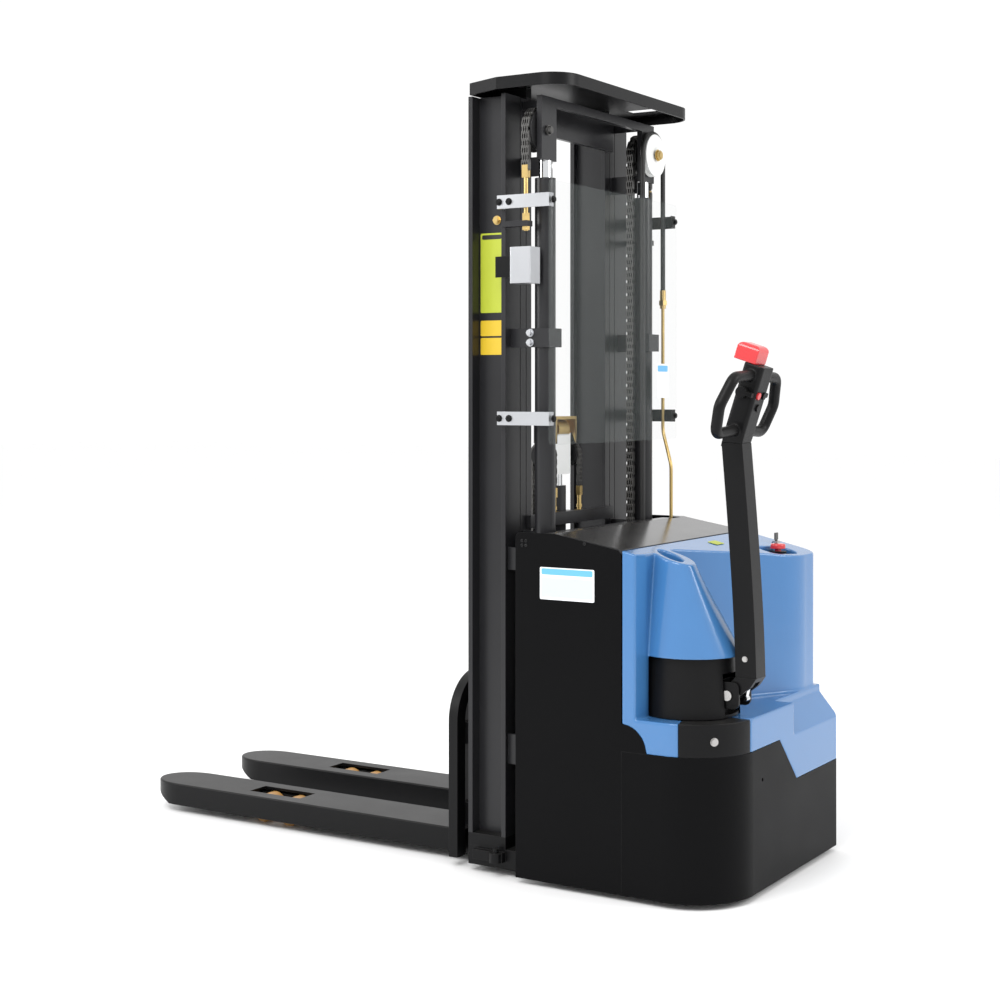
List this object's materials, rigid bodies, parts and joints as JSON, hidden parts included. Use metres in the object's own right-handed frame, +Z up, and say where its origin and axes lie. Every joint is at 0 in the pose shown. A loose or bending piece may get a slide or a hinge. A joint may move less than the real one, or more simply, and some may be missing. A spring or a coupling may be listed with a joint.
{
  "type": "walkie stacker",
  "caption": "Pedestrian pallet stacker with a three-stage mast, guarded forks, a side-mounted tiller and a rounded rear cover.",
  "frame": {"origin": "centre of the bounding box on the floor", "axes": "+X toward the operator, forks toward -X, operator's left toward -Y, +Z up"},
  "size_m": [2.054, 0.782, 2.132],
  "materials": {
    "black_paint": "semi-gloss powder coat",
    "blue_cover": "glossy moulded",
    "black_plastic": "fine texture",
    "red_plastic": "glossy",
    "steel": "machined",
    "zinc": "zinc plated",
    "brass": "yellow zinc",
    "chrome": "hard chrome",
    "clear": "clear polycarbonate",
    "roller_tyre": "polyurethane",
    "tyre": "polyurethane",
    "rubber": "hose",
    "white_nylon": "nylon",
    "deck_grey": "gloss",
    "aluminium": "cast"
  },
  "bodies": {
    "chassis": {"base_legs": "black_paint", "outer_mast": "black_paint", "lift_cylinders": "black_paint", "side_chain_anchors": "brass", "hydraulic_pipe": "brass", "guard_screen": "clear", "guard_brackets": "zinc", "limit_switch_box": "zinc", "chassis_frame": "black_paint", "chassis_shell": "black_paint", "side_panels": "black_paint", "deck_lid": "deck_grey", "corner_cover": "black_plastic", "rear_cover": "blue_cover", "fasteners": "zinc", "switch_bodies": "black_plastic", "battery": "black_plastic", "hydraulic_unit": "black_paint"},
    "middle_stage": {"middle_mast": "black_paint", "middle_mast_rollers": "steel", "lift_rods": "chrome", "sheave_axles": "steel", "side_chains": "steel", "lift_hose": "rubber"},
    "inner_stage": {"inner_mast": "black_paint", "inner_mast_rollers": "steel", "top_plate": "black_paint", "free_lift_cylinder": "black_paint", "free_lift_anchors": "brass"},
    "free_lift_head": {"free_lift_rod": "chrome", "crosshead": "black_paint", "free_lift_chains": "steel"},
    "carriage": {"fork_left": "black_paint", "fork_right": "black_paint", "backrest_hoop": "black_paint", "carriage_frame": "black_paint"},
    "sheave_left": {"chain_sheave_left": "black_paint"},
    "sheave_right": {"chain_sheave_right": "black_paint"},
    "pulley": {"hose_pulley": "white_nylon"},
    "steering": {"steering_drum": "black_plastic", "drive_motor": "black_paint", "drive_gearbox": "aluminium", "tiller_bracket": "black_paint"},
    "tiller": {"tiller_arm": "black_paint", "tiller_head": "black_plastic"},
    "traction_wheel": {"drive_wheel": "aluminium", "drive_tyre": "tyre"},
    "belly_button_body": {"belly_button": "red_plastic"},
    "throttle_body": {"throttle": "black_plastic"},
    "lift_button_body": {"lift_button": "red_plastic"},
    "lower_button_body": {"lower_button": "black_plastic"},
    "horn_button_body": {"horn_button": "black_plastic"},
    "estop_body": {"estop_button": "red_plastic"},
    "key_body": {"key_switch": "steel"},
    "roller_front_left": {"load_roller_front_left": "roller_tyre"},
    "roller_rear_left": {"load_roller_rear_left": "roller_tyre"},
    "roller_front_right": {"load_roller_front_right": "roller_tyre"},
    "roller_rear_right": {"load_roller_rear_right": "roller_tyre"},
    "caster_swivel_body": {"caster_fork": "black_paint"},
    "caster_wheel_body": {"caster_wheel": "tyre"}
  },
  "joints": [
    {"name": "mast_lift", "type": "slide", "parent": "chassis", "child": "middle_stage", "axis": [0, 0, 1], "range_m": [0, 1.45]},
    {"name": "inner_lift", "type": "slide", "parent": "middle_stage", "child": "inner_stage", "axis": [0, 0, 1], "range_m": [0, 1.45]},
    {"name": "carriage_lift", "type": "slide", "parent": "inner_stage", "child": "carriage", "axis": [0, 0, 1], "range_m": [0, 1.45]},
    {"name": "free_rod_lift", "type": "slide", "parent": "inner_stage", "child": "free_lift_head", "axis": [0, 0, 1], "range_m": [0, 0.725]},
    {"name": "sheave_left_spin", "type": "hinge", "parent": "middle_stage", "child": "sheave_left", "pos_m": [0.397, -0.298, 1.994], "axis": [1, 0, 0], "range_deg": [0, 1470]},
    {"name": "sheave_right_spin", "type": "hinge", "parent": "middle_stage", "child": "sheave_right", "pos_m": [0.397, 0.298, 1.994], "axis": [-1, 0, 0], "range_deg": [0, 1470]},
    {"name": "hose_pulley_spin", "type": "hinge", "parent": "middle_stage", "child": "pulley", "pos_m": [0.442, 0.298, 1.994], "axis": [-1, 0, 0], "range_deg": [0, 1300]},
    {"name": "steer", "type": "hinge", "parent": "chassis", "child": "steering", "pos_m": [0.809, -0.21, 0.4], "axis": [0, 0, -1], "range_deg": [-80, 80]},
    {"name": "tiller_tilt", "type": "hinge", "parent": "steering", "child": "tiller", "pos_m": [0.93, -0.21, 0.526], "axis": [0, 1, 0], "range_deg": [0, 75], "stiffness_Nm_per_rad": 15, "springref_deg": -45.84},
    {"name": "drive_wheel_spin", "type": "hinge", "parent": "steering", "child": "traction_wheel", "pos_m": [0.809, -0.21, 0.115], "axis": [0, 1, 0], "continuous": true},
    {"name": "load_roller_front_left_spin", "type": "hinge", "parent": "chassis", "child": "roller_front_left", "pos_m": [-0.606, -0.195, 0.04], "axis": [0, 1, 0], "continuous": true},
    {"name": "load_roller_rear_left_spin", "type": "hinge", "parent": "chassis", "child": "roller_rear_left", "pos_m": [-0.507, -0.195, 0.04], "axis": [0, 1, 0], "continuous": true},
    {"name": "load_roller_front_right_spin", "type": "hinge", "parent": "chassis", "child": "roller_front_right", "pos_m": [-0.606, 0.195, 0.04], "axis": [0, 1, 0], "continuous": true},
    {"name": "load_roller_rear_right_spin", "type": "hinge", "parent": "chassis", "child": "roller_rear_right", "pos_m": [-0.507, 0.195, 0.04], "axis": [0, 1, 0], "continuous": true},
    {"name": "caster_swivel", "type": "hinge", "parent": "chassis", "child": "caster_swivel_body", "pos_m": [0.809, 0.215, 0.14], "axis": [0, 0, 1], "continuous": true},
    {"name": "caster_wheel_spin", "type": "hinge", "parent": "caster_swivel_body", "child": "caster_wheel_body", "pos_m": [0.839, 0.215, 0.0625], "axis": [0, 1, 0], "continuous": true},
    {"name": "belly_button_press", "type": "slide", "parent": "tiller", "child": "belly_button_body", "axis": [-0.9511, 0, 0.309], "range_m": [0, 0.01], "stiffness_N_per_m": 400},
    {"name": "throttle_turn", "type": "hinge", "parent": "tiller", "child": "throttle_body", "pos_m": [0.9718, -0.21, 1.29619], "axis": [0, 1, 0], "range_deg": [-30, 30], "stiffness_Nm_per_rad": 0.2},
    {"name": "lift_button_press", "type": "slide", "parent": "tiller", "child": "lift_button_body", "axis": [-0.9511, 0, 0.309], "range_m": [0, 0.003], "stiffness_N_per_m": 150},
    {"name": "lower_button_press", "type": "slide", "parent": "tiller", "child": "lower_button_body", "axis": [-0.9511, 0, 0.309], "range_m": [0, 0.003], "stiffness_N_per_m": 150},
    {"name": "horn_button_press", "type": "slide", "parent": "tiller", "child": "horn_button_body", "axis": [-0.9511, 0, 0.309], "range_m": [0, 0.003], "stiffness_N_per_m": 150},
    {"name": "estop_press", "type": "slide", "parent": "chassis", "child": "estop_body", "axis": [0, 0, -1], "range_m": [0, 0.006]},
    {"name": "key_turn", "type": "hinge", "parent": "chassis", "child": "key_body", "pos_m": [0.822, 0.322, 0.87], "axis": [0, 0, -1], "range_deg": [0, 90]}
  ],
  "couplings": [
    {"joint": "inner_lift", "follows": "mast_lift", "ratio": 1},
    {"joint": "free_rod_lift", "follows": "carriage_lift", "ratio": 0.5},
    {"joint": "sheave_left_spin", "follows": "mast_lift", "rad_per_m": 17.544},
    {"joint": "sheave_right_spin", "follows": "mast_lift", "rad_per_m": 17.544},
    {"joint": "hose_pulley_spin", "follows": "mast_lift", "rad_per_m": 15.314}
  ]
}
